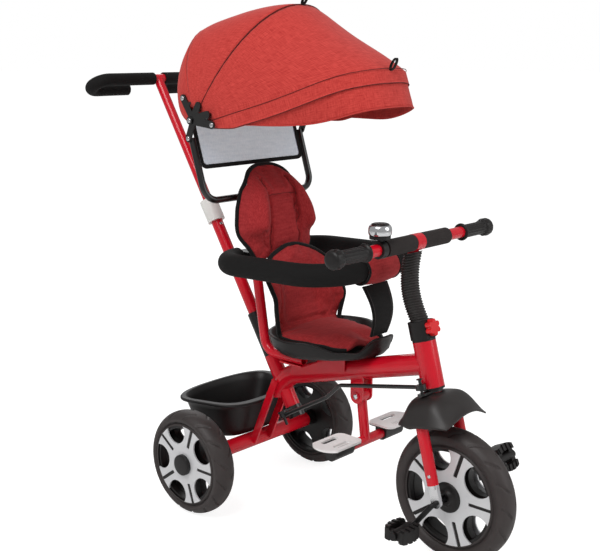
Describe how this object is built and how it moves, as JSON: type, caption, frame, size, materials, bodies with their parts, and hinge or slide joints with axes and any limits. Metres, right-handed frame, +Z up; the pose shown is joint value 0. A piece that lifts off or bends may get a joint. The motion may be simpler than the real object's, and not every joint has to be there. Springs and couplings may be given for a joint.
{
  "type": "toddler push along trike",
  "caption": "Toddler push along trike with a parent push bar that steers the front wheel, a padded seat inside a safety bar, a folding sunshade, a footrest and a rear basket.",
  "frame": {"origin": "on the floor, under the middle of the overall length and width", "axes": "+X forward, +Y to the rider's left, +Z up"},
  "size_m": [1.0003, 0.48, 1.0228],
  "materials": {
    "red_paint": "glossy red enamel on steel tube",
    "black_paint": "black enamel on steel",
    "chrome": "bright plated steel",
    "black_plastic": "satin moulded plastic",
    "silver_plastic": "silver finished plastic",
    "pale_plastic": "pale moulded plastic",
    "red_plastic": "glossy moulded plastic",
    "tyre": "matt foamed tyre with a shallow tread",
    "foam": "matt closed cell foam sleeve",
    "liner_cloth": "heathered woven polyester over foam",
    "hood_cloth": "heathered woven polyester",
    "webbing": "woven webbing",
    "mesh": "open mesh with a bound edge"
  },
  "bodies": {
    "frame": {"main_tube": "red_paint", "head_tube": "red_paint", "bushes": "black_plastic", "push_socket": "red_paint", "axle_tube": "red_paint", "rear_axle": "chrome", "seat_bracket": "red_paint", "backrest_hoop": "red_paint", "seat_shell": "black_plastic", "seat_liner": "liner_cloth", "back_pad": "liner_cloth", "safety_bar": "black_paint", "safety_foam": "foam", "hoop_clamps": "black_plastic", "tummy_pad": "liner_cloth", "crotch_strap": "webbing", "basket": "black_plastic", "hood_frame": "black_paint", "hood_hinges": "black_paint", "rear_bow": "black_paint", "hood_rear": "hood_cloth", "rear_window": "mesh", "footrest_bracket": "red_paint"},
    "footrest": {"footrest_arm": "red_paint", "foot_pads": "pale_plastic"},
    "rear_wheel_right": {"tyre_rear_right": "tyre", "rim_rear_right": "black_plastic", "disc_rear_right": "silver_plastic"},
    "rear_wheel_left": {"tyre_rear_left": "tyre", "rim_rear_left": "black_plastic", "disc_rear_left": "silver_plastic"},
    "steering": {"fork": "red_paint", "fork_ends": "chrome", "steering_arm": "black_paint", "fender": "black_plastic", "steering_collar": "black_plastic", "stem": "red_paint", "gaiter": "black_plastic", "handlebar": "red_paint", "bar_sleeves": "foam", "bar_grips": "black_plastic", "bell_base": "black_plastic"},
    "bell": {"bell_dome": "chrome"},
    "knob": {"clamp_knob": "red_plastic"},
    "front_wheel": {"front_tyre": "tyre", "front_rim": "black_plastic", "front_discs": "silver_plastic", "front_crank": "chrome"},
    "right_pedal": {"pedal_right": "black_plastic"},
    "left_pedal": {"pedal_left": "black_plastic"},
    "push_bar": {"push_lower": "red_paint", "push_crank": "black_paint"},
    "twist_collar": {"push_collar": "pale_plastic"},
    "push_handle": {"push_upper": "red_paint", "push_grips": "foam"},
    "rod": {"steering_rod": "black_paint"},
    "hood_middle": {"mid_bow": "black_paint", "hood_mid": "hood_cloth"},
    "hood_leading": {"front_bow": "black_paint", "hood_front": "hood_cloth"}
  },
  "joints": [
    {"name": "rear_right_spin", "type": "hinge", "parent": "frame", "child": "rear_wheel_right", "pos_m": [-0.14384, -0.187, 0.108], "axis": [0, 1, 0], "continuous": true},
    {"name": "rear_left_spin", "type": "hinge", "parent": "frame", "child": "rear_wheel_left", "pos_m": [-0.14384, 0.187, 0.108], "axis": [0, 1, 0], "continuous": true},
    {"name": "steering", "type": "hinge", "parent": "frame", "child": "steering", "pos_m": [0.37216, 0, 0.128], "axis": [-0.2639, 0, 0.9646], "range_deg": [-32, 32]},
    {"name": "front_spin", "type": "hinge", "parent": "steering", "child": "front_wheel", "pos_m": [0.37216, 0, 0.128], "axis": [0, 1, 0], "continuous": true},
    {"name": "right_pedal_spin", "type": "hinge", "parent": "front_wheel", "child": "right_pedal", "pos_m": [0.33605, -0.111, 0.08008], "axis": [0, 1, 0], "continuous": true},
    {"name": "left_pedal_spin", "type": "hinge", "parent": "front_wheel", "child": "left_pedal", "pos_m": [0.40827, 0.111, 0.17592], "axis": [0, 1, 0], "continuous": true},
    {"name": "knob_turn", "type": "hinge", "parent": "steering", "child": "knob", "pos_m": [0.28929, 0, 0.43092], "axis": [0.9646, 0, 0.2639], "range_deg": [0, 180]},
    {"name": "bell_twist", "type": "hinge", "parent": "steering", "child": "bell", "pos_m": [0.27134, -0.1064, 0.59127], "axis": [0, 0, 1], "range_deg": [-40, 40], "stiffness_Nm_per_rad": 0.05},
    {"name": "push_swivel", "type": "hinge", "parent": "frame", "child": "push_bar", "pos_m": [-0.03584, 0, 0.205], "axis": [-0.5195, 0, 0.8545], "range_deg": [-32, 32]},
    {"name": "collar_twist", "type": "hinge", "parent": "push_bar", "child": "twist_collar", "pos_m": [-0.03584, 0, 0.205], "axis": [-0.5195, 0, 0.8545], "range_deg": [0, 60]},
    {"name": "handle_slide", "type": "slide", "parent": "push_bar", "child": "push_handle", "axis": [-0.5195, 0, 0.8545], "range_m": [-0.12, 0]},
    {"name": "rod_pivot", "type": "hinge", "parent": "push_bar", "child": "rod", "pos_m": [-0.0294, -0.036, 0.1944], "axis": [-0.5195, 0, 0.8545], "range_deg": [-32, 32]},
    {"name": "footrest_fold", "type": "hinge", "parent": "frame", "child": "footrest", "pos_m": [0.14816, 0, 0.27083], "axis": [0, 1, 0], "range_deg": [0, 50]},
    {"name": "hood_fold", "type": "hinge", "parent": "frame", "child": "hood_leading", "pos_m": [-0.14584, 0, 0.802], "axis": [0, -1, 0], "range_deg": [0, 63], "deforming": ["hood_front"]},
    {"name": "hood_middle_fold", "type": "hinge", "parent": "frame", "child": "hood_middle", "pos_m": [-0.14584, 0, 0.802], "axis": [0, -1, 0], "range_deg": [0, 34], "deforming": ["hood_mid"]}
  ],
  "couplings": [
    {"joint": "push_swivel", "follows": "steering", "ratio": 1},
    {"joint": "rod_pivot", "follows": "steering", "ratio": -1},
    {"joint": "hood_middle_fold", "follows": "hood_fold", "ratio": 0.53968}
  ]
}
